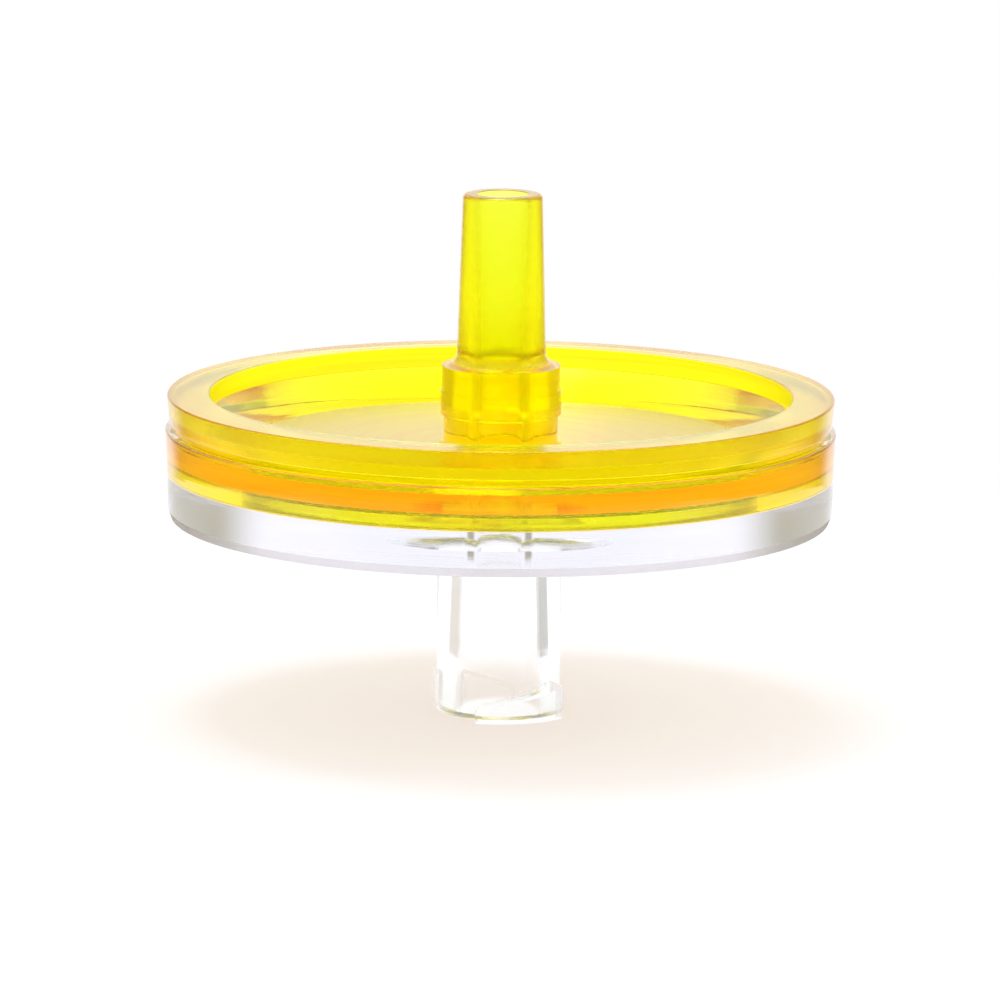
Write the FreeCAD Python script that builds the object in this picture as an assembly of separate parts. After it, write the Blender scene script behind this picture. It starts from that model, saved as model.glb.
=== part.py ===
"""Disc syringe filter, 33 mm class, standing on its female Luer lock inlet.

Three pieces: a clear inlet housing (tube, two lock lugs and a shallow cup), a
tinted outlet housing (disc, skirt, rim ring, hub and male Luer slip tip) that
plugs into the cup, and the membrane that the two clamp between them.

Frame: millimetres, +Z up along the flow axis, origin at the centre of the
inlet's end face, front towards -Y.

Heights are stacked from the inlet's end face up, and the disc's radii from the
membrane outwards, so a changed size carries what sits on it along.
"""
import FreeCAD, Part
import math
import os

os.makedirs("parts", exist_ok=True)

# Luer cones: 6 per cent taper on diameter
LUER_TAPER = 0.06
SOCKET_MOUTH_DIAMETER = 4.29
SOCKET_DEPTH = 8.2
TIP_END_DIAMETER = 3.94
TIP_CONE_LENGTH = 7.7

# membrane
MEMBRANE_DIAMETER = 25.4
MEMBRANE_THICKNESS = 0.16
MEMBRANE_EDGE_GAP = 0.05    # between the membrane and the skirt round it
CLAMP_GAP = 0.01            # each side of the membrane
CLAMP_WIDTH = 0.82          # foot of the ridge under the membrane's edge
CLAMP_LAND = 0.10           # flat top of the ridge, between its two sloping sides
CLAMP_HEIGHT = 0.30         # height of the ridge, and of the space below the membrane

# inlet tube and port
TUBE_LENGTH = 9.8           # end face to the cup's underside
TUBE_WALL = 0.955           # at the socket's mouth
TUBE_END_FILLET = 0.12
TUBE_ROOT_FILLET = 0.5
SOCKET_MOUTH_CHAMFER = 0.15
PORT_DIAMETER = 2.2
PORT_CONE_LENGTH = 0.45     # cone between the socket's end and the port

# lock lugs on the tube's end
LUG_COUNT = 2
LUG_SPAN_DIAMETER = 7.8
LUG_LEAD = 5.0              # rise of a lug's flank in one full turn, right-handed
LUG_START_HEIGHT = 0.60     # crest height at the low end
LUG_FLANK_RISE = 0.30       # the flank is this much higher at the tube than at the crest
LUG_START_ANGLE = -107.0    # degrees from +X, low end of the front lug
LUG_SPAN_ANGLE = 72.0
LUG_ROOT = 0.25             # how far a lug runs into the tube's wall
LUG_STEPS = 9               # sections along a lug

# inlet cup
CUP_FLOOR = 2.18            # solid plate
CUP_SIDE_DEPTH = 2.22       # inner wall above the plate
CUP_WALL = 0.5
CUP_DRAFT = 0.14            # radius lost from the cup's rim to its foot
CUP_RIM_FILLET = 0.12
CUP_FOOT_HEIGHT = 0.44      # narrow band round the underside, which slopes in
CUP_FOOT_SLOPE = 0.16       # radius lost over that band

# outlet disc
SKIRT_WIDTH = 3.35          # solid edge round the membrane, down to the plate
SKIRT_SIDE_GAP = 0.02       # skirt to the cup's inner wall
SKIRT_FACE_GAP = 0.02       # skirt to the plate, and the shoulder to the cup's rim
SKIRT_EDGE_FILLET = 0.08
WEB_THICKNESS = 0.94        # over the membrane
SHOULDER_WIDTH = 0.12       # how far the shoulder covers the cup's rim
NECK_HEIGHT = 0.26          # open groove between the cup's rim and the rim ring
RING_HEIGHT = 1.42
RING_WIDTH = 2.09
RING_SETBACK = 0.10         # ring's radius below the cup's
RING_DRAFT = 0.13           # radius lost from the ring's top to its underside
RING_EDGE_FILLET = 0.10
RECESS_WALL_DEPTH = 1.0     # upright part of the recess wall
RECESS_STEP = 0.12          # ledge at the foot of the upright part
RECESS_SLOPE_WIDTH = 1.71   # sloping part of the recess wall

# hub, tip and outlet bore
OUTLET_BORE_DIAMETER = 2.1  # through the disc and the hub
OUTLET_MOUTH_DIAMETER = 2.54    # at the tip's end, to which the bore widens
TIP_END_FILLET = 0.22
TIP_SHANK_LENGTH = 0.85     # straight part between the hub and the cone
TIP_ROOT_FILLET = 0.69
HUB_TOP_LEDGE = 0.04        # flat left outside the root fillet
HUB_UPPER_HEIGHT = 1.25
HUB_LOWER_HEIGHT = 1.22
HUB_LOWER_STEP = 0.06       # the lower collar stands this much proud of the upper one
HUB_EDGE_FILLET = 0.12
HUB_NECK_HEIGHT = 1.48
HUB_NECK_STEP = 0.16        # the neck stands this much inside the lower collar
HUB_BASE_FILLET = 0.2

# heights that follow
PLATE_Z = TUBE_LENGTH + CUP_FLOOR
CLAMP_Z = PLATE_Z + CLAMP_HEIGHT
MEMBRANE_BASE_Z = CLAMP_Z + CLAMP_GAP
WEB_BASE_Z = MEMBRANE_BASE_Z + MEMBRANE_THICKNESS + CLAMP_GAP
SKIRT_BASE_Z = PLATE_Z + SKIRT_FACE_GAP
CUP_RIM_Z = PLATE_Z + CUP_SIDE_DEPTH
SHOULDER_Z = CUP_RIM_Z + SKIRT_FACE_GAP
RING_BASE_Z = SHOULDER_Z + NECK_HEIGHT
RIM_TOP_Z = RING_BASE_Z + RING_HEIGHT
RECESS_STEP_Z = RIM_TOP_Z - RECESS_WALL_DEPTH
RECESS_FLOOR_Z = WEB_BASE_Z + WEB_THICKNESS
HUB_LOW_Z = RECESS_FLOOR_Z + HUB_NECK_HEIGHT
HUB_MIDDLE_Z = HUB_LOW_Z + HUB_LOWER_HEIGHT
HUB_TOP_Z = HUB_MIDDLE_Z + HUB_UPPER_HEIGHT
TIP_CONE_Z = HUB_TOP_Z + TIP_SHANK_LENGTH
TIP_END_Z = TIP_CONE_Z + TIP_CONE_LENGTH

# radii that follow, from the axis outwards
SOCKET_MOUTH_RADIUS = SOCKET_MOUTH_DIAMETER / 2
SOCKET_END_RADIUS = SOCKET_MOUTH_RADIUS - SOCKET_DEPTH * LUER_TAPER / 2
PORT_RADIUS = PORT_DIAMETER / 2
TUBE_RADIUS = SOCKET_MOUTH_RADIUS + TUBE_WALL
MEMBRANE_RADIUS = MEMBRANE_DIAMETER / 2
CLAMP_INNER_RADIUS = MEMBRANE_RADIUS - CLAMP_WIDTH
CLAMP_SLOPE_WIDTH = (CLAMP_WIDTH - CLAMP_LAND) / 2
SKIRT_INNER_RADIUS = MEMBRANE_RADIUS + MEMBRANE_EDGE_GAP
SKIRT_RADIUS = SKIRT_INNER_RADIUS + SKIRT_WIDTH
CUP_INNER_RADIUS = SKIRT_RADIUS + SKIRT_SIDE_GAP
CUP_RIM_RADIUS = CUP_INNER_RADIUS + CUP_WALL
CUP_FOOT_RADIUS = CUP_RIM_RADIUS - CUP_DRAFT
NECK_RADIUS = CUP_INNER_RADIUS + SHOULDER_WIDTH
RING_RADIUS = CUP_RIM_RADIUS - RING_SETBACK
RECESS_RADIUS = RING_RADIUS - RING_WIDTH
RECESS_FLOOR_RADIUS = RECESS_RADIUS - RECESS_STEP - RECESS_SLOPE_WIDTH
TIP_END_RADIUS = TIP_END_DIAMETER / 2
TIP_BASE_RADIUS = TIP_END_RADIUS + TIP_CONE_LENGTH * LUER_TAPER / 2
HUB_UPPER_RADIUS = TIP_BASE_RADIUS + TIP_ROOT_FILLET + HUB_TOP_LEDGE
HUB_LOWER_RADIUS = HUB_UPPER_RADIUS + HUB_LOWER_STEP
HUB_NECK_RADIUS = HUB_LOWER_RADIUS - HUB_NECK_STEP
OUTLET_BORE_RADIUS = OUTLET_BORE_DIAMETER / 2

Z_AXIS = FreeCAD.Vector(0, 0, 1)
ORIGIN = FreeCAD.Vector(0, 0, 0)


def point(radius, height):
    """A point of a half section: radius along +X, height along +Z."""
    return FreeCAD.Vector(radius, 0, height)


def corner_arc(before, corner, after, fillet):
    """Arc that rounds a corner between the corners before and after it."""
    back = (before - corner).normalize()
    ahead = (after - corner).normalize()
    half_angle = back.getAngle(ahead) / 2
    reach = fillet / math.tan(half_angle)
    inward = (back + ahead).normalize()
    middle = corner + inward * (fillet / math.sin(half_angle) - fillet)
    return Part.Arc(corner + back * reach, middle, corner + ahead * reach)


def turned(outline):
    """Full turn of a closed half section.

    A corner is (radius, height), or (radius, height, fillet) where it is rounded.
    """
    corners = [point(*corner[:2]) for corner in outline]
    entries = list(corners)
    exits = list(corners)
    edges = []
    for place, corner in enumerate(outline):
        if len(corner) == 3:
            following = corners[(place + 1) % len(corners)]
            arc = corner_arc(corners[place - 1], corners[place], following, corner[2])
            entries[place] = arc.StartPoint
            exits[place] = arc.EndPoint
            edges.append(arc.toShape())
    for place in range(len(corners)):
        edges.append(Part.makeLine(exits[place - 1], entries[place]))
    face = Part.Face(Part.Wire(Part.sortEdges(edges)[0]))
    return face.revolve(ORIGIN, Z_AXIS, 360)


def lug_section(angle, crest_height):
    """Closed section of a lug at one angle, in the plane through the axis."""
    turn = math.radians(angle)
    direction = FreeCAD.Vector(math.cos(turn), math.sin(turn), 0)
    root = direction * (TUBE_RADIUS - LUG_ROOT)
    crest = direction * (LUG_SPAN_DIAMETER / 2)
    corners = [
        root,
        crest,
        crest + Z_AXIS * crest_height,
        root + Z_AXIS * (crest_height + LUG_FLANK_RISE),
    ]
    return Part.makePolygon(corners + corners[:1])


def lock_lug():
    """The front lug: its foot is level with the tube's end, its flank climbs."""
    sections = []
    for step in range(LUG_STEPS):
        turn = LUG_SPAN_ANGLE * step / (LUG_STEPS - 1)
        height = LUG_START_HEIGHT + LUG_LEAD * turn / 360
        sections.append(lug_section(LUG_START_ANGLE + turn, height))
    return Part.makeLoft(sections, True, True)


def inlet_passage():
    """Socket, its shoulder and the port, for cutting."""
    chamfer_radius = SOCKET_MOUTH_RADIUS - SOCKET_MOUTH_CHAMFER * LUER_TAPER / 2
    return turned([
        (0, 0),
        (SOCKET_MOUTH_RADIUS + SOCKET_MOUTH_CHAMFER, 0),
        (chamfer_radius, SOCKET_MOUTH_CHAMFER),
        (SOCKET_END_RADIUS, SOCKET_DEPTH),
        (PORT_RADIUS, SOCKET_DEPTH + PORT_CONE_LENGTH),
        (PORT_RADIUS, PLATE_Z),
        (0, PLATE_Z),
    ])


def inlet_housing():
    """Clear cup with the clamp ridge, the inlet tube, its lugs, socket and port."""
    body = turned([
        (0, 0),
        (TUBE_RADIUS, 0, TUBE_END_FILLET),
        (TUBE_RADIUS, TUBE_LENGTH, TUBE_ROOT_FILLET),
        (CUP_FOOT_RADIUS - CUP_FOOT_SLOPE, TUBE_LENGTH),
        (CUP_FOOT_RADIUS, TUBE_LENGTH + CUP_FOOT_HEIGHT),
        (CUP_RIM_RADIUS, CUP_RIM_Z, CUP_RIM_FILLET),
        (CUP_INNER_RADIUS, CUP_RIM_Z, CUP_RIM_FILLET),
        (CUP_INNER_RADIUS, PLATE_Z),
        (MEMBRANE_RADIUS, PLATE_Z),
        (MEMBRANE_RADIUS - CLAMP_SLOPE_WIDTH, CLAMP_Z),
        (CLAMP_INNER_RADIUS + CLAMP_SLOPE_WIDTH, CLAMP_Z),
        (CLAMP_INNER_RADIUS, PLATE_Z),
        (0, PLATE_Z),
    ])
    for place in range(LUG_COUNT):
        lug = lock_lug()
        lug.rotate(ORIGIN, Z_AXIS, 360 * place / LUG_COUNT)
        body = body.fuse(lug)
    return body.cut(inlet_passage()).removeSplitter()


def outlet_bore():
    """Bore that widens along the tip, for cutting."""
    return turned([
        (0, WEB_BASE_Z),
        (OUTLET_BORE_RADIUS, WEB_BASE_Z),
        (OUTLET_BORE_RADIUS, HUB_TOP_Z),
        (OUTLET_MOUTH_DIAMETER / 2, TIP_END_Z),
        (0, TIP_END_Z),
    ])


def outlet_housing():
    """Tinted disc with its skirt, the rim ring, the hub and the male Luer tip."""
    body = turned([
        (0, WEB_BASE_Z),
        (SKIRT_INNER_RADIUS, WEB_BASE_Z),
        (SKIRT_INNER_RADIUS, SKIRT_BASE_Z),
        (SKIRT_RADIUS, SKIRT_BASE_Z, SKIRT_EDGE_FILLET),
        (SKIRT_RADIUS, SHOULDER_Z),
        (NECK_RADIUS, SHOULDER_Z),
        (NECK_RADIUS, RING_BASE_Z),
        (RING_RADIUS - RING_DRAFT, RING_BASE_Z, RING_EDGE_FILLET),
        (RING_RADIUS, RIM_TOP_Z, RING_EDGE_FILLET),
        (RECESS_RADIUS, RIM_TOP_Z, RING_EDGE_FILLET),
        (RECESS_RADIUS, RECESS_STEP_Z),
        (RECESS_RADIUS - RECESS_STEP, RECESS_STEP_Z),
        (RECESS_FLOOR_RADIUS, RECESS_FLOOR_Z),
        (HUB_NECK_RADIUS, RECESS_FLOOR_Z, HUB_BASE_FILLET),
        (HUB_NECK_RADIUS, HUB_LOW_Z),
        (HUB_LOWER_RADIUS, HUB_LOW_Z, HUB_EDGE_FILLET),
        (HUB_LOWER_RADIUS, HUB_MIDDLE_Z),
        (HUB_UPPER_RADIUS, HUB_MIDDLE_Z),
        (HUB_UPPER_RADIUS, HUB_TOP_Z),
        (TIP_BASE_RADIUS, HUB_TOP_Z, TIP_ROOT_FILLET),
        (TIP_BASE_RADIUS, TIP_CONE_Z),
        (TIP_END_RADIUS, TIP_END_Z, TIP_END_FILLET),
        (0, TIP_END_Z),
    ])
    return body.cut(outlet_bore()).removeSplitter()


def membrane():
    """Flat round filter membrane."""
    return Part.makeCylinder(MEMBRANE_RADIUS, MEMBRANE_THICKNESS, point(0, MEMBRANE_BASE_Z))


def export(shape, name):
    """Write one sub-part, which has to be one valid solid."""
    if len(shape.Solids) != 1 or not shape.isValid():
        raise ValueError(name + " is not one valid solid")
    shape.Solids[0].exportStep("parts/" + name + ".step")
    print(name, round(shape.Volume, 3), "mm3")


export(inlet_housing(), "inlet_housing")
export(outlet_housing(), "outlet_housing")
export(membrane(), "membrane")
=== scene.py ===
"""Disc syringe filter: a clear inlet cup on its Luer tube, a yellow outlet
housing with a slip tip, and the white membrane clamped between the two.

Heights and outer radii come from the frame, and the sizes inside a moulding
are named below in millimetres. Every piece is turned from a half section.
"""
import bpy
import bmesh
import math
from mathutils import Matrix, Vector

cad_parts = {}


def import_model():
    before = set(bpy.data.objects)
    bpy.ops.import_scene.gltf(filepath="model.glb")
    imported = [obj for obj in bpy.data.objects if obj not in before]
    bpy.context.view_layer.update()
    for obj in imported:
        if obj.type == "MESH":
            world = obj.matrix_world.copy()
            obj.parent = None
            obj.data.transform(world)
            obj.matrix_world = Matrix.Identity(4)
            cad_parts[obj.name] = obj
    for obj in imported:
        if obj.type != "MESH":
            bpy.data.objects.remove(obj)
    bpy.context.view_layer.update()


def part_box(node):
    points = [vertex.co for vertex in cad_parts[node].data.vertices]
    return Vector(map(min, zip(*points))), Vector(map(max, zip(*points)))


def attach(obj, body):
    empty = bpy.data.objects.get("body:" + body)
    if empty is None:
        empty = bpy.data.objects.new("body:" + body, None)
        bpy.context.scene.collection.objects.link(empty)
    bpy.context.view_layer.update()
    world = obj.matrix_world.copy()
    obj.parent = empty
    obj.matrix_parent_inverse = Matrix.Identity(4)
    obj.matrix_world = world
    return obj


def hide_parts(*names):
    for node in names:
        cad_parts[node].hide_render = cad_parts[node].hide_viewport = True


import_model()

MM = 0.001
TURN_STEPS = 256            # sides of a turned piece
ARC_STEPS = 6               # sides of a rounded corner
MERGE = 1e-4                # mm

# ---------------------------------------------------------------- sizes, mm


def extent(node):
    """Lowest height, highest height and outer radius of a node, in mm."""
    low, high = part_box(node)
    radius = min(-low.x, -low.y, high.x, high.y)
    return low.z / MM, high.z / MM, radius / MM


inlet_base_z, cup_rim_z, cup_rim_radius = extent("inlet_housing")
skirt_base_z, tip_end_z, ring_radius = extent("outlet_housing")
membrane_base_z, membrane_top_z, membrane_radius = extent("membrane")

LUER_TAPER = 0.06

# inlet tube, socket and lugs
TUBE_LENGTH = 9.8
TUBE_RADIUS = 3.1
TUBE_END_FILLET = 0.12
TUBE_ROOT_FILLET = 0.5
SOCKET_MOUTH_RADIUS = 2.145
SOCKET_MOUTH_CHAMFER = 0.15
SOCKET_DEPTH = 8.2
PORT_RADIUS = 1.1
PORT_CONE_LENGTH = 0.45
LUG_COUNT = 2
LUG_RADIUS = 3.9
LUG_ROOT_RADIUS = 2.85
LUG_LEAD = 5.0
LUG_START_HEIGHT = 0.60
LUG_FLANK_RISE = 0.30
LUG_START_ANGLE = -107.0
LUG_SPAN_ANGLE = 72.0
LUG_STEPS = 36

# inlet cup
CUP_WALL = 0.5
CUP_DRAFT = 0.14
CUP_RIM_FILLET = 0.12
CUP_FOOT_HEIGHT = 0.44
CUP_FOOT_SLOPE = 0.16
CLAMP_WIDTH = 0.82
CLAMP_LAND = 0.10
CLAMP_GAP = 0.01

# outlet disc
MEMBRANE_EDGE_GAP = 0.05
SKIRT_SIDE_GAP = 0.02
SKIRT_FACE_GAP = 0.02
SKIRT_EDGE_FILLET = 0.08
WEB_THICKNESS = 0.94
SHOULDER_WIDTH = 0.12
NECK_HEIGHT = 0.26
RING_HEIGHT = 1.42
RING_WIDTH = 2.09
RING_DRAFT = 0.13
RING_EDGE_FILLET = 0.10
RECESS_WALL_DEPTH = 1.0
RECESS_STEP = 0.12
RECESS_SLOPE_WIDTH = 1.71

# hub, tip and outlet bore
TIP_END_RADIUS = 1.97
TIP_CONE_LENGTH = 7.7
TIP_SHANK_LENGTH = 0.85
TIP_ROOT_FILLET = 0.69
TIP_END_FILLET = 0.22
HUB_TOP_LEDGE = 0.04
HUB_UPPER_HEIGHT = 1.25
HUB_LOWER_HEIGHT = 1.22
HUB_LOWER_STEP = 0.06
HUB_EDGE_FILLET = 0.12
HUB_NECK_STEP = 0.16
HUB_BASE_FILLET = 0.2
OUTLET_BORE_RADIUS = 1.05
OUTLET_MOUTH_RADIUS = 1.27

# heights that follow
plate_z = skirt_base_z - SKIRT_FACE_GAP
clamp_z = membrane_base_z - CLAMP_GAP
web_base_z = membrane_top_z + CLAMP_GAP
shoulder_z = cup_rim_z + SKIRT_FACE_GAP
ring_base_z = shoulder_z + NECK_HEIGHT
rim_top_z = ring_base_z + RING_HEIGHT
recess_step_z = rim_top_z - RECESS_WALL_DEPTH
recess_floor_z = web_base_z + WEB_THICKNESS
tip_cone_z = tip_end_z - TIP_CONE_LENGTH
hub_top_z = tip_cone_z - TIP_SHANK_LENGTH
hub_middle_z = hub_top_z - HUB_UPPER_HEIGHT
hub_low_z = hub_middle_z - HUB_LOWER_HEIGHT

# radii that follow
socket_end_radius = SOCKET_MOUTH_RADIUS - SOCKET_DEPTH * LUER_TAPER / 2
cup_inner_radius = cup_rim_radius - CUP_WALL
cup_foot_radius = cup_rim_radius - CUP_DRAFT
clamp_inner_radius = membrane_radius - CLAMP_WIDTH
clamp_slope_width = (CLAMP_WIDTH - CLAMP_LAND) / 2
skirt_inner_radius = membrane_radius + MEMBRANE_EDGE_GAP
skirt_radius = cup_inner_radius - SKIRT_SIDE_GAP
neck_radius = cup_inner_radius + SHOULDER_WIDTH
recess_radius = ring_radius - RING_WIDTH
recess_floor_radius = recess_radius - RECESS_STEP - RECESS_SLOPE_WIDTH
tip_base_radius = TIP_END_RADIUS + TIP_CONE_LENGTH * LUER_TAPER / 2
hub_upper_radius = tip_base_radius + TIP_ROOT_FILLET + HUB_TOP_LEDGE
hub_lower_radius = hub_upper_radius + HUB_LOWER_STEP
hub_neck_radius = hub_lower_radius - HUB_NECK_STEP

# ------------------------------------------------------------- mesh helpers


def round_corner(bm, vert, fillet):
    """Round a corner of a half section to the fillet's radius."""
    first, second = [edge.other_vert(vert).co - vert.co for edge in vert.link_edges]
    reach = fillet / math.tan(first.angle(second) / 2)
    bmesh.ops.bevel(bm, geom=[vert], offset=reach, offset_type="OFFSET",
                    segments=ARC_STEPS, profile=0.5, affect="VERTICES", material=-1)


def turned(outline):
    """Full turn of a closed half section of (radius, height[, fillet]) corners, in mm."""
    bm = bmesh.new()
    verts = [bm.verts.new((corner[0], 0, corner[1])) for corner in outline]
    for place in range(len(verts)):
        bm.edges.new((verts[place - 1], verts[place]))
    for vert, corner in zip(verts, outline):
        if len(corner) == 3:
            round_corner(bm, vert, corner[2])
    bmesh.ops.spin(bm, geom=bm.verts[:] + bm.edges[:], cent=(0, 0, 0), axis=(0, 0, 1),
                   angle=math.tau, steps=TURN_STEPS, use_merge=True)
    bmesh.ops.remove_doubles(bm, verts=bm.verts, dist=MERGE)
    bmesh.ops.recalc_face_normals(bm, faces=bm.faces)
    return bm


def put_in_order(bm):
    """Sort points, edges and faces by place, so that each run gives the same mesh."""
    for row, key in ((bm.verts, lambda vert: vert.co[:]),
                     (bm.edges, lambda edge: sorted(vert.index for vert in edge.verts)),
                     (bm.faces, lambda face: sorted(vert.index for vert in face.verts))):
        rank = {item: place for place, item in enumerate(sorted(row, key=key))}
        row.sort(key=rank.get)
        row.index_update()


def scene_object(bm, name):
    """A linked object in metres from a mesh in millimetres."""
    bmesh.ops.scale(bm, verts=bm.verts, vec=(MM, MM, MM))
    put_in_order(bm)
    mesh = bpy.data.meshes.new(name)
    bm.to_mesh(mesh)
    bm.free()
    thing = bpy.data.objects.new(name, mesh)
    bpy.context.scene.collection.objects.link(thing)
    return thing


def join(thing, tool):
    """Unite an object with a tool, and remove the tool."""
    modifier = thing.modifiers.new("union", "BOOLEAN")
    modifier.operation = "UNION"
    modifier.solver = "EXACT"
    modifier.object = tool
    graph = bpy.context.evaluated_depsgraph_get()
    mesh = bpy.data.meshes.new_from_object(thing.evaluated_get(graph))
    thing.modifiers.clear()
    old = thing.data
    thing.data = mesh
    mesh.name = thing.name
    bpy.data.meshes.remove(old)
    bpy.data.objects.remove(tool)


def smooth(thing):
    """Smooth shading that leaves flat faces flat and real edges sharp."""
    mesh = thing.data
    mesh.shade_smooth()
    mesh.set_sharp_from_angle(angle=math.radians(32))
    weights = thing.modifiers.new("face_weights", "WEIGHTED_NORMAL")
    weights.keep_sharp = True


# ------------------------------------------------------------------- pieces


def lock_lugs():
    """Both lock lugs: flat feet, and flanks that climb round the tube."""
    bm = bmesh.new()
    outline = [
        (LUG_ROOT_RADIUS, inlet_base_z),
        (LUG_RADIUS, inlet_base_z),
        (LUG_RADIUS, LUG_START_HEIGHT),
        (LUG_ROOT_RADIUS, LUG_START_HEIGHT + LUG_FLANK_RISE),
    ]
    section = bm.faces.new([bm.verts.new((radius, 0, height)) for radius, height in outline])
    start = Matrix.Rotation(math.radians(LUG_START_ANGLE), 3, "Z")
    bmesh.ops.rotate(bm, verts=bm.verts, cent=(0, 0, 0), matrix=start)
    bmesh.ops.spin(bm, geom=[section], cent=(0, 0, 0), axis=(0, 0, 1),
                   angle=math.radians(LUG_SPAN_ANGLE), steps=LUG_STEPS)
    for vert in bm.verts:
        if vert.co.z > inlet_base_z + MERGE:
            turn = math.degrees(math.atan2(vert.co.y, vert.co.x)) - LUG_START_ANGLE
            vert.co.z += LUG_LEAD * turn / 360
    bmesh.ops.remove_doubles(bm, verts=bm.verts, dist=MERGE)
    bmesh.ops.recalc_face_normals(bm, faces=bm.faces)
    source = bm.verts[:] + bm.edges[:] + bm.faces[:]
    for place in range(1, LUG_COUNT):
        copy = bmesh.ops.duplicate(bm, geom=source)["geom"]
        verts = [item for item in copy if isinstance(item, bmesh.types.BMVert)]
        bmesh.ops.rotate(bm, verts=verts, cent=(0, 0, 0),
                         matrix=Matrix.Rotation(math.tau * place / LUG_COUNT, 3, "Z"))
    return bm


def inlet_moulding():
    """Clear cup with the clamp ridge, its tube, lugs, socket and port."""
    body = turned([
        (SOCKET_MOUTH_RADIUS + SOCKET_MOUTH_CHAMFER, inlet_base_z),
        (TUBE_RADIUS, inlet_base_z, TUBE_END_FILLET),
        (TUBE_RADIUS, TUBE_LENGTH, TUBE_ROOT_FILLET),
        (cup_foot_radius - CUP_FOOT_SLOPE, TUBE_LENGTH),
        (cup_foot_radius, TUBE_LENGTH + CUP_FOOT_HEIGHT),
        (cup_rim_radius, cup_rim_z, CUP_RIM_FILLET),
        (cup_inner_radius, cup_rim_z, CUP_RIM_FILLET),
        (cup_inner_radius, plate_z),
        (membrane_radius, plate_z),
        (membrane_radius - clamp_slope_width, clamp_z),
        (clamp_inner_radius + clamp_slope_width, clamp_z),
        (clamp_inner_radius, plate_z),
        (PORT_RADIUS, plate_z),
        (PORT_RADIUS, SOCKET_DEPTH + PORT_CONE_LENGTH),
        (socket_end_radius, SOCKET_DEPTH),
        (SOCKET_MOUTH_RADIUS - SOCKET_MOUTH_CHAMFER * LUER_TAPER / 2, SOCKET_MOUTH_CHAMFER),
    ])
    piece = scene_object(body, "inlet_moulding")
    join(piece, scene_object(lock_lugs(), "lugs"))
    smooth(piece)
    return piece


def outlet_moulding():
    """Yellow disc with its skirt, the rim ring, the hub and the tip."""
    body = turned([
        (OUTLET_BORE_RADIUS, web_base_z),
        (skirt_inner_radius, web_base_z),
        (skirt_inner_radius, skirt_base_z),
        (skirt_radius, skirt_base_z, SKIRT_EDGE_FILLET),
        (skirt_radius, shoulder_z),
        (neck_radius, shoulder_z),
        (neck_radius, ring_base_z),
        (ring_radius - RING_DRAFT, ring_base_z, RING_EDGE_FILLET),
        (ring_radius, rim_top_z, RING_EDGE_FILLET),
        (recess_radius, rim_top_z, RING_EDGE_FILLET),
        (recess_radius, recess_step_z),
        (recess_radius - RECESS_STEP, recess_step_z),
        (recess_floor_radius, recess_floor_z),
        (hub_neck_radius, recess_floor_z, HUB_BASE_FILLET),
        (hub_neck_radius, hub_low_z),
        (hub_lower_radius, hub_low_z, HUB_EDGE_FILLET),
        (hub_lower_radius, hub_middle_z),
        (hub_upper_radius, hub_middle_z),
        (hub_upper_radius, hub_top_z),
        (tip_base_radius, hub_top_z, TIP_ROOT_FILLET),
        (tip_base_radius, tip_cone_z),
        (TIP_END_RADIUS, tip_end_z, TIP_END_FILLET),
        (OUTLET_MOUTH_RADIUS, tip_end_z),
        (OUTLET_BORE_RADIUS, hub_top_z),
    ])
    piece = scene_object(body, "outlet_moulding")
    smooth(piece)
    return piece


def membrane_sheet():
    """The flat filter membrane."""
    body = turned([
        (0, membrane_base_z),
        (membrane_radius, membrane_base_z),
        (membrane_radius, membrane_top_z),
        (0, membrane_top_z),
    ])
    piece = scene_object(body, "membrane_sheet")
    smooth(piece)
    return piece


# -------------------------------------------------------------- node helpers


def put(tree, socket, value):
    """Link a socket to an output, or set it to a plain number or colour."""
    if isinstance(value, bpy.types.NodeSocket):
        tree.links.new(value, socket)
    elif isinstance(value, tuple):
        socket.default_value = (*value, 1)
    else:
        socket.default_value = value


def math_node(tree, operation, first, second=None, clamp=False):
    """One sum on one or two values."""
    node = tree.nodes.new("ShaderNodeMath")
    node.operation = operation
    node.use_clamp = clamp
    put(tree, node.inputs[0], first)
    if second is not None:
        put(tree, node.inputs[1], second)
    return node.outputs["Value"]


def mapped(tree, value, low, high, to_low=0.0, to_high=1.0, kind="LINEAR"):
    """A value taken from one range to another."""
    node = tree.nodes.new("ShaderNodeMapRange")
    node.interpolation_type = kind
    put(tree, node.inputs["Value"], value)
    node.inputs["From Min"].default_value = low
    node.inputs["From Max"].default_value = high
    put(tree, node.inputs["To Min"], to_low)
    put(tree, node.inputs["To Max"], to_high)
    return node.outputs["Result"]


def colour_mix(tree, factor, first, second):
    """The first colour at nought, the second at one."""
    node = tree.nodes.new("ShaderNodeMix")
    node.data_type = "RGBA"
    put(tree, node.inputs["Factor"], factor)
    put(tree, node.inputs["A"], first)
    put(tree, node.inputs["B"], second)
    return node.outputs["Result"]


def window(tree, value, edges):
    """One between the middle two edges, fading to nought at the outer two."""
    rise = mapped(tree, value, edges[0], edges[1], kind="SMOOTHSTEP")
    fall = mapped(tree, value, edges[2], edges[3], 1.0, 0.0, kind="SMOOTHSTEP")
    return math_node(tree, "MULTIPLY", rise, fall)


def place_axes(tree):
    """X, Y and Z of the Object coordinates."""
    place = tree.nodes.new("ShaderNodeTexCoord")
    parts = tree.nodes.new("ShaderNodeSeparateXYZ")
    tree.links.new(place.outputs["Object"], parts.inputs["Vector"])
    return parts.outputs["X"], parts.outputs["Y"], parts.outputs["Z"]


def from_axis(tree, x, y):
    """Distance from the flow axis."""
    squares = [math_node(tree, "MULTIPLY", axis, axis) for axis in (x, y)]
    return math_node(tree, "SQRT", math_node(tree, "ADD", *squares))


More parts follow.
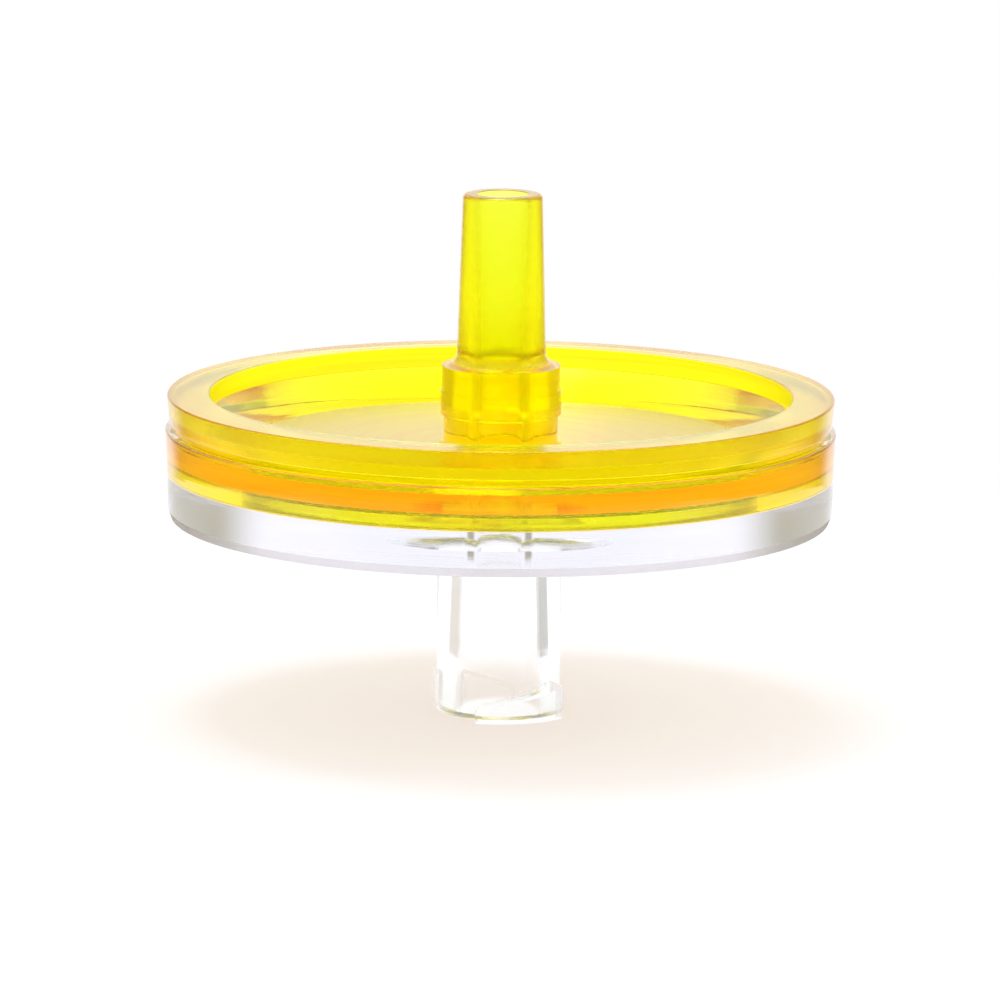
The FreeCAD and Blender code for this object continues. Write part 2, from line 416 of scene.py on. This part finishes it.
def reversed_mask(tree, mask):
    """One where a mask is nought, and nought where it is one."""
    return math_node(tree, "SUBTRACT", 1.0, mask)


# ------------------------------------------------------------ surface groups

RING_SPACING = 0.0004       # metres
RING_DRIFT = 0.7            # how fast the rings change round the piece
HAZE_SCALE = 260.0


def moulded_surface_group():
    """Turned mould's trace: fine rings that drift round the piece, and soft haze."""
    tree = bpy.data.node_groups.new("moulded_surface", "ShaderNodeTree")
    for name, value in (("Ring Spacing", RING_SPACING), ("Haze", 0.02)):
        socket = tree.interface.new_socket(name, in_out="INPUT", socket_type="NodeSocketFloat")
        socket.default_value = value
    for name in ("Height", "Haze"):
        tree.interface.new_socket(name, in_out="OUTPUT", socket_type="NodeSocketFloat")
    given = tree.nodes.new("NodeGroupInput")
    result = tree.nodes.new("NodeGroupOutput")
    x, y, z = place_axes(tree)
    spacing = given.outputs["Ring Spacing"]
    section = tree.nodes.new("ShaderNodeCombineXYZ")
    put(tree, section.inputs["X"], math_node(tree, "DIVIDE", from_axis(tree, x, y), spacing))
    turn = math_node(tree, "ARCTAN2", x, y)
    put(tree, section.inputs["Y"], math_node(tree, "MULTIPLY", turn, RING_DRIFT))
    put(tree, section.inputs["Z"], math_node(tree, "DIVIDE", z, spacing))
    rings = tree.nodes.new("ShaderNodeTexNoise")
    rings.inputs["Scale"].default_value = 1.0
    rings.inputs["Detail"].default_value = 2.0
    tree.links.new(section.outputs["Vector"], rings.inputs["Vector"])
    tree.links.new(rings.outputs["Fac"], result.inputs["Height"])
    place = tree.nodes.new("ShaderNodeTexCoord")
    haze = tree.nodes.new("ShaderNodeTexNoise")
    haze.inputs["Scale"].default_value = HAZE_SCALE
    haze.inputs["Detail"].default_value = 3.0
    tree.links.new(place.outputs["Object"], haze.inputs["Vector"])
    clouds = mapped(tree, haze.outputs["Fac"], 0.3, 0.7)
    put(tree, result.inputs["Haze"], math_node(tree, "MULTIPLY", clouds, given.outputs["Haze"]))
    return tree


# ----------------------------------------------------------------- materials

PLASTIC_IOR = 1.55
FUSED_IOR = 1.001           # hides the gap where the two housings are fused

CLEAR_TINT = (0.90, 0.894, 0.936)
CLEAR_DENSITY = 60
CLEAR_GLINT = (1.0, 1.0, 1.0)
CLEAR_BASE = (1.0, 1.0, 1.0)
# grey-pink painted shade on the satin foot band, standing in for the greyer surroundings it shows
CLEAR_SATIN_SHADE = (0.90, 0.85, 0.87)
CLEAR_ROUGHNESS = 0.02
CLEAR_SATIN_ROUGHNESS = 0.4         # more than the polished plastic
TUBE_END_ROUGHNESS = 0.13
TUBE_END_HEIGHTS = (1.2, 2.6)       # mm, over which the tube's end turns clear
CLEAR_HAZE = 0.05
CLEAR_RELIEF = 2e-6

YELLOW_TINT = (1.0, 0.9873, 0.0)
YELLOW_DENSITY = 2200
YELLOW_GLINT = (1.0, 0.95, 0.1)
YELLOW_BASE = (0.94, 1.0, 1.0)
HUB_BASE = (0.98, 0.97, 1.0)
RING_BASE = (1.0, 0.93, 1.0)
STREAK_BASE = (0.98, 0.86, 1.0)
STREAK_HEIGHTS = (0.46, 0.62)       # of the mould's rings
STREAKS_ON_TIP = 0.15
DISC_ROUGHNESS = 0.05
UPPER_ROUGHNESS = 0.18              # rim's top, hub and tip
YELLOW_SATIN_ROUGHNESS = 0.45       # more than the disc
YELLOW_COAT_ROUGHNESS = 0.5
YELLOW_COAT_IOR = 3.2
YELLOW_HAZE = 0.03
YELLOW_RELIEF = 6e-6
RING_WALL_RADII = (15.2, 15.7)      # mm, from the rim's inner side to its outer wall
HUB_FOOT = 0.05                     # mm, over which the hub's colour begins

PORE_SCALE = 9000.0
PORE_DARK = (0.94, 0.94, 0.92)
PORE_LIGHT = (0.98, 0.98, 0.96)
PORE_RELIEF = 5e-6


def principled(name):
    """A new material with its shader and output."""
    material = bpy.data.materials.new(name)
    material.use_nodes = True
    nodes = material.node_tree.nodes
    return material, nodes["Principled BSDF"], nodes["Material Output"]


def relief(tree, shader, height, distance):
    """Bump on a shader from a height."""
    node = tree.nodes.new("ShaderNodeBump")
    node.inputs["Strength"].default_value = 1.0
    node.inputs["Distance"].default_value = distance
    put(tree, node.inputs["Height"], height)
    put(tree, shader.inputs["Normal"], node.outputs["Normal"])


def mark(tree, name):
    """A face mark of the piece: nought on the faces that don't have it."""
    node = tree.nodes.new("ShaderNodeAttribute")
    node.attribute_name = name
    return node.outputs["Fac"]


def outside(tree):
    """One on the side of a surface that faces the air."""
    facing = tree.nodes.new("ShaderNodeNewGeometry")
    return reversed_mask(tree, facing.outputs["Backfacing"])


def tinted_plastic(name, tint, density, glint, base):
    """Clear moulded plastic whose colour comes from what it absorbs."""
    material, shader, output = principled(name)
    tree = material.node_tree
    put(tree, shader.inputs["Base Color"], base)
    put(tree, shader.inputs["Specular Tint"], glint)
    shader.inputs["Transmission Weight"].default_value = 1.0
    shader.inputs["IOR"].default_value = PLASTIC_IOR
    put(tree, shader.inputs["IOR"], mapped(tree, mark(tree, "weld"), 0, 1, PLASTIC_IOR, FUSED_IOR))
    volume = tree.nodes.new("ShaderNodeVolumeAbsorption")
    put(tree, volume.inputs["Color"], tint)
    volume.inputs["Density"].default_value = density
    tree.links.new(volume.outputs["Volume"], output.inputs["Volume"])
    return material, shader


def moulded(tree, shader, roughness, haze, distance):
    """Give a plastic the mould's rings and a roughness that varies, and return the rings."""
    surface = tree.nodes.new("ShaderNodeGroup")
    surface.node_tree = moulded_surface
    surface.inputs["Haze"].default_value = haze
    put(tree, shader.inputs["Roughness"], math_node(tree, "ADD", surface.outputs["Haze"], roughness))
    relief(tree, shader, surface.outputs["Height"], distance)
    return surface.outputs["Height"]


def clear_plastic():
    """Water-clear plastic, with a soft end to the tube and a satin foot band tinted grey-pink as
    painted shade.
    """
    material, shader = tinted_plastic("clear_plastic_moulded", CLEAR_TINT, CLEAR_DENSITY,
                                      CLEAR_GLINT, CLEAR_BASE)
    tree = material.node_tree
    z = place_axes(tree)[2]
    satin = mark(tree, "satin")
    end_low, end_high = TUBE_END_HEIGHTS
    roughness = mapped(tree, z, end_low * MM, end_high * MM,
                       TUBE_END_ROUGHNESS, CLEAR_ROUGHNESS, "SMOOTHSTEP")
    softer = math_node(tree, "MULTIPLY", satin, CLEAR_SATIN_ROUGHNESS)
    moulded(tree, shader, math_node(tree, "ADD", roughness, softer), CLEAR_HAZE, CLEAR_RELIEF)
    # The satin marks also tint the base grey-pink: painted shade on the foot band and, more weakly, the
    # tube's root.
    put(tree, shader.inputs["Base Color"], colour_mix(tree, satin, CLEAR_BASE, CLEAR_SATIN_SHADE))
    return material


def yellow_plastic():
    """Yellow plastic, warmer on the hub and the ring, with flow streaks and a satin floor."""
    material, shader = tinted_plastic("yellow_plastic_moulded", YELLOW_TINT, YELLOW_DENSITY,
                                      YELLOW_GLINT, YELLOW_BASE)
    tree = material.node_tree
    x, y, z = place_axes(tree)

    satin = math_node(tree, "MULTIPLY", mark(tree, "satin"), outside(tree))
    roughness = mapped(tree, z, recess_floor_z * MM, rim_top_z * MM,
                       DISC_ROUGHNESS, UPPER_ROUGHNESS, "SMOOTHSTEP")
    softer = math_node(tree, "MULTIPLY", satin, YELLOW_SATIN_ROUGHNESS)
    rings = moulded(tree, shader, math_node(tree, "ADD", roughness, softer), YELLOW_HAZE, YELLOW_RELIEF)

    hub_edges = (recess_floor_z, recess_floor_z + HUB_FOOT, hub_middle_z, tip_cone_z)
    low_hub = window(tree, z, [edge * MM for edge in hub_edges])
    hub = math_node(tree, "MULTIPLY", low_hub, mark(tree, "hub"))
    wall_near, wall_far = RING_WALL_RADII
    wall = mapped(tree, from_axis(tree, x, y), wall_near * MM, wall_far * MM)
    raised = mapped(tree, z, shoulder_z * MM, ring_base_z * MM)
    ring = math_node(tree, "MULTIPLY", wall, raised)
    streak = mapped(tree, rings, *STREAK_HEIGHTS, kind="SMOOTHSTEP")
    below_tip = mapped(tree, z, hub_top_z * MM, tip_cone_z * MM, 1, STREAKS_ON_TIP)
    streak = math_node(tree, "MULTIPLY", streak, below_tip)
    base = YELLOW_BASE
    for part, colour in ((hub, HUB_BASE), (ring, RING_BASE), (streak, STREAK_BASE)):
        base = colour_mix(tree, part, base, colour)
    put(tree, shader.inputs["Base Color"], base)

    put(tree, shader.inputs["Coat Weight"], satin)
    shader.inputs["Coat Roughness"].default_value = YELLOW_COAT_ROUGHNESS
    shader.inputs["Coat IOR"].default_value = YELLOW_COAT_IOR
    return material


def membrane_pores():
    """Matt white sheet with fine pores, which lets some light through."""
    material, shader, output = principled("membrane_pores")
    tree = material.node_tree
    shader.inputs["Roughness"].default_value = 1.0
    shader.inputs["Transmission Weight"].default_value = 0.5
    shader.inputs["IOR"].default_value = 1.3
    place = tree.nodes.new("ShaderNodeTexCoord")
    pores = tree.nodes.new("ShaderNodeTexVoronoi")
    pores.inputs["Scale"].default_value = PORE_SCALE
    tree.links.new(place.outputs["Object"], pores.inputs["Vector"])
    depth = pores.outputs["Distance"]
    put(tree, shader.inputs["Base Color"],
        colour_mix(tree, mapped(tree, depth, 0.0, 0.8), PORE_DARK, PORE_LIGHT))
    relief(tree, shader, depth, PORE_RELIEF)
    return material


# --------------------------------------------------------------------- build


def mark_faces(piece, name, heights, radii, amount=1):
    """Mark the faces between two heights and two radii, in mm."""
    marks = piece.data.attributes.get(name) or piece.data.attributes.new(name, "FLOAT", "FACE")
    for face in piece.data.polygons:
        height, radius = face.center.z / MM, math.hypot(face.center.x, face.center.y) / MM
        if heights[0] < height < heights[1] and radii[0] < radius < radii[1]:
            marks.data[face.index].value = amount


CUP_WELD_DEPTH = 0.22       # mm below the cup's rim where the fused wall ends
ROOT_FILLET_SATIN = 0.4     # the tube's root is less satin than the foot band, and takes less of its grey-pink painted shade

moulded_surface = moulded_surface_group()
pieces = {
    "inlet_housing": (inlet_moulding(), "clear_plastic", clear_plastic()),
    "outlet_housing": (outlet_moulding(), "yellow_plastic", yellow_plastic()),
    "membrane": (membrane_sheet(), "membrane_white", membrane_pores()),
}
for node, (piece, slot, finish) in pieces.items():
    piece.data.materials.clear()
    piece.data.materials.append(finish)
    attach(piece, "root")
    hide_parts(node)

inlet = pieces["inlet_housing"][0]
outlet = pieces["outlet_housing"][0]
mark_faces(inlet, "satin", (TUBE_LENGTH + MERGE, TUBE_LENGTH + CUP_FOOT_HEIGHT),
           (skirt_radius, cup_foot_radius))
mark_faces(inlet, "satin", (TUBE_LENGTH - TUBE_ROOT_FILLET, TUBE_LENGTH - MERGE),
           (TUBE_RADIUS, TUBE_RADIUS + TUBE_ROOT_FILLET), ROOT_FILLET_SATIN)
mark_faces(inlet, "weld", (plate_z + MERGE, cup_rim_z - CUP_WELD_DEPTH),
           (skirt_radius, cup_inner_radius + MERGE))
mark_faces(outlet, "satin", (recess_floor_z - MERGE, recess_floor_z + MERGE),
           (hub_neck_radius, recess_floor_radius))
mark_faces(outlet, "hub", (recess_floor_z - MERGE, tip_end_z), (0, hub_lower_radius))
mark_faces(outlet, "weld", (skirt_base_z + SKIRT_EDGE_FILLET, shoulder_z - MERGE),
           (skirt_radius - 2 * SKIRT_SIDE_GAP, neck_radius))


# --------------------------------------------------------------------- stage

FLOOR_RADIUS = 65
FLOOR_SHADE = (0.17, 0.23, 0.28)        # takes the shadow
FLOOR_LIFT = (0.80, 0.68, 0.60)         # brings open floor to white; against the bluish shade, its warm colour paints a warm cast into the shadow
FLOOR_THROUGH = (0.95, 0.93, 0.91)      # a brighter glow seen through the plastic: painted light that lifts the shadow under the part
BORE_REACH = (0.030, 0.024)             # metres, floor whose shadow shows through the tube
LEFT_PAINTED_SHADE = (0.50, 0.34, 0.18)          # painted shade on the floor at the sides, seen only through the plastic
RIGHT_PAINTED_SHADE = (0.30, 0.18, 0.06)
PAINTED_SHADE_AZIMUTHS = (36, 44, 100, 120)
PAINTED_SHADE_REACH = (0.020, 0.026, 0.070, 0.080)
DARK_FRONT = (-0.030, -0.045)           # metres along Y, where the floor isn't mirrored

BACK_LEVEL = 1.2                        # brightness straight behind the part
FRONT_LEVEL = 0.1
OVERHEAD_LEVEL = 1.2
FRONT_AZIMUTHS = (90, 140)
OVERHEAD_ELEVATIONS = (14, 26)
FLAG = (0.55, 0.52, 0.38)               # grey cards at the sides, seen through the clear plate
FLAG_AZIMUTHS = (33, 50, 76, 90)
FLAG_ELEVATIONS = (1, 4, 16, 22)
FLAG_CROSSINGS = (1.4, 1.6, 2.4, 2.6)   # rays that went in and out of one moulding
MIRRORED_SIDES = (0.15, 0.15, 0.13)     # dark cards that the outer walls mirror
MIRRORED_AZIMUTHS = (22, 38)


def radians(edges):
    """A row of angles, from degrees."""
    return [math.radians(edge) for edge in edges]


def sines(edges):
    """The sines of a row of angles in degrees."""
    return [math.sin(edge) for edge in radians(edges)]


def ray_kinds(tree):
    """Camera, mirrored and refracted ray masks, and how many surfaces a ray has crossed."""
    path = tree.nodes.new("ShaderNodeLightPath")
    names = ("Is Camera Ray", "Is Glossy Ray", "Is Transmission Ray", "Transmission Depth")
    return [path.outputs[name] for name in names]


def mirrored_by(tree, glossy, crossed, limit):
    """One for mirrored rays that crossed fewer surfaces than the limit."""
    return math_node(tree, "MULTIPLY", glossy, math_node(tree, "LESS_THAN", crossed, limit))


def floor():
    """A pale sheet under the part."""
    bm = bmesh.new()
    bmesh.ops.create_circle(bm, cap_ends=True, segments=64, radius=FLOOR_RADIUS)
    ground = scene_object(bm, "floor")
    material, shader, output = principled("floor_paper")
    tree = material.node_tree
    put(tree, shader.inputs["Base Color"], FLOOR_SHADE)
    shader.inputs["Roughness"].default_value = 1.0
    shader.inputs["Specular IOR Level"].default_value = 0.0

    direct, glossy, refracted, crossed = ray_kinds(tree)
    x, y = place_axes(tree)[:2]
    reach = from_axis(tree, x, y)
    # Refracted rays see the brighter glow, painted light over the part's shadow, except near the tube's
    # bore.
    through_bore = math_node(tree, "MULTIPLY", math_node(tree, "GREATER_THAN", crossed, 3.5),
                             mapped(tree, reach, *BORE_REACH, kind="SMOOTHSTEP"))
    through = math_node(tree, "MULTIPLY", refracted, reversed_mask(tree, through_bore))
    lift = colour_mix(tree, through, FLOOR_LIFT, FLOOR_THROUGH)

    # Tan on the left and brown on the right: painted shade on the floor at the sides, seen only by
    # refracted rays.
    side = math_node(tree, "ABSOLUTE", math_node(tree, "ARCTAN2", x, y))
    card = math_node(tree, "MULTIPLY", window(tree, side, radians(PAINTED_SHADE_AZIMUTHS)),
                     window(tree, reach, PAINTED_SHADE_REACH))
    right = math_node(tree, "GREATER_THAN", x, 0.0)
    lift = colour_mix(tree, math_node(tree, "MULTIPLY", card, refracted), lift,
                      colour_mix(tree, right, LEFT_PAINTED_SHADE, RIGHT_PAINTED_SHADE))

    ahead = mapped(tree, y, *DARK_FRONT, kind="SMOOTHSTEP")
    unseen = math_node(tree, "MULTIPLY", mirrored_by(tree, glossy, crossed, 2.5), ahead)
    lift = colour_mix(tree, unseen, lift, (0, 0, 0))

    glow = tree.nodes.new("ShaderNodeEmission")
    put(tree, glow.inputs["Color"], lift)
    seen = math_node(tree, "ADD", direct, glossy)
    put(tree, glow.inputs["Strength"], math_node(tree, "ADD", seen, refracted, clamp=True))
    both = tree.nodes.new("ShaderNodeAddShader")
    tree.links.new(shader.outputs["BSDF"], both.inputs[0])
    tree.links.new(glow.outputs["Emission"], both.inputs[1])
    tree.links.new(both.outputs["Shader"], output.inputs["Surface"])
    ground.data.materials.append(material)


def world():
    """Bright overhead, white all round, with a grey card at each side."""
    sky = bpy.data.worlds.new("studio")
    sky.use_nodes = True
    tree = sky.node_tree
    place = tree.nodes.new("ShaderNodeTexCoord")
    parts = tree.nodes.new("ShaderNodeSeparateXYZ")
    tree.links.new(place.outputs["Generated"], parts.inputs["Vector"])
    x, y, z = (parts.outputs[axis] for axis in "XYZ")
    side = math_node(tree, "ABSOLUTE", math_node(tree, "ARCTAN2", x, y))
    direct, glossy, _, crossed = ray_kinds(tree)

    deep = math_node(tree, "GREATER_THAN", crossed, 2.5)
    front = mapped(tree, deep, 0, 1, FRONT_LEVEL, BACK_LEVEL)
    around = mapped(tree, side, *radians(FRONT_AZIMUTHS), BACK_LEVEL, front, "SMOOTHSTEP")
    flag = math_node(tree, "MULTIPLY", window(tree, side, radians(FLAG_AZIMUTHS)),
                     window(tree, z, sines(FLAG_ELEVATIONS)))
    flag = math_node(tree, "MULTIPLY", flag, window(tree, crossed, FLAG_CROSSINGS))
    lit = colour_mix(tree, flag, around, FLAG)

    steep = mapped(tree, math_node(tree, "ABSOLUTE", z), *sines(OVERHEAD_ELEVATIONS), kind="SMOOTHSTEP")
    lit = colour_mix(tree, steep, lit, (OVERHEAD_LEVEL,) * 3)

    aside = mapped(tree, side, *radians(MIRRORED_AZIMUTHS), kind="SMOOTHSTEP")
    aside = math_node(tree, "MULTIPLY", aside, reversed_mask(tree, steep))
    mirrored = mirrored_by(tree, glossy, crossed, 0.5)
    lit = colour_mix(tree, math_node(tree, "MULTIPLY", mirrored, aside), lit, MIRRORED_SIDES)
    shown = colour_mix(tree, direct, lit, (1, 1, 1))
    tree.links.new(shown, tree.nodes["Background"].inputs["Color"])
    bpy.context.scene.world = sky


def lamp(name, place, size, power):
    """A square soft lamp aimed at the disc, in metres and watts."""
    data = bpy.data.lights.new(name, "AREA")
    data.size = size
    data.energy = power
    thing = bpy.data.objects.new(name, data)
    bpy.context.scene.collection.objects.link(thing)
    thing.location = place
    thing.rotation_mode = "QUATERNION"
    aim = Vector((0, 0, skirt_base_z * MM)) - Vector(place)
    thing.rotation_quaternion = aim.to_track_quat("-Z", "Y")
    return thing


def lamps():
    """A soft box overhead that casts the shadow, and a small one for the glints."""
    lamp("top_softbox", (-0.05, 0.10, 0.44), 0.17, 1.3).visible_glossy = False
    lamp("side_spark", (0.30, -0.02, 0.30), 0.014, 0.16).visible_transmission = False


CAMERA_LENS = 291.024       # mm, on a 36 mm sensor
CAMERA_REACH = 0.400        # metres from the rim's middle
CAMERA_ELEVATION = 9.68
CAMERA_ROLL = 0.55
CAMERA_AIM_Z = 10.55        # mm


def camera():
    """Long lens, a little above the rim."""
    data = bpy.data.cameras.new("camera")
    data.sensor_width = 36
    data.lens = CAMERA_LENS
    data.clip_end = 100
    view = bpy.data.objects.new("camera", data)
    bpy.context.scene.collection.objects.link(view)
    elevation = math.radians(CAMERA_ELEVATION)
    rim = Vector((0, 0, rim_top_z * MM))
    view.location = rim + Vector((0, -math.cos(elevation), math.sin(elevation))) * CAMERA_REACH
    look = (Vector((0, 0, CAMERA_AIM_Z * MM)) - view.location).to_track_quat("-Z", "Y")
    roll = Matrix.Rotation(math.radians(CAMERA_ROLL), 4, "Z")
    view.matrix_world = Matrix.Translation(view.location) @ look.to_matrix().to_4x4() @ roll
    bpy.context.scene.camera = view


LIGHT_BOUNCES = 40          # enough for light that the plastic guides


def light_paths():
    """Let light run on inside the mouldings."""
    cycles = bpy.context.scene.cycles
    cycles.max_bounces = LIGHT_BOUNCES
    cycles.glossy_bounces = LIGHT_BOUNCES
    cycles.transmission_bounces = LIGHT_BOUNCES


floor()
world()
lamps()
camera()
light_paths()
bpy.context.scene.view_settings.view_transform = "Standard"
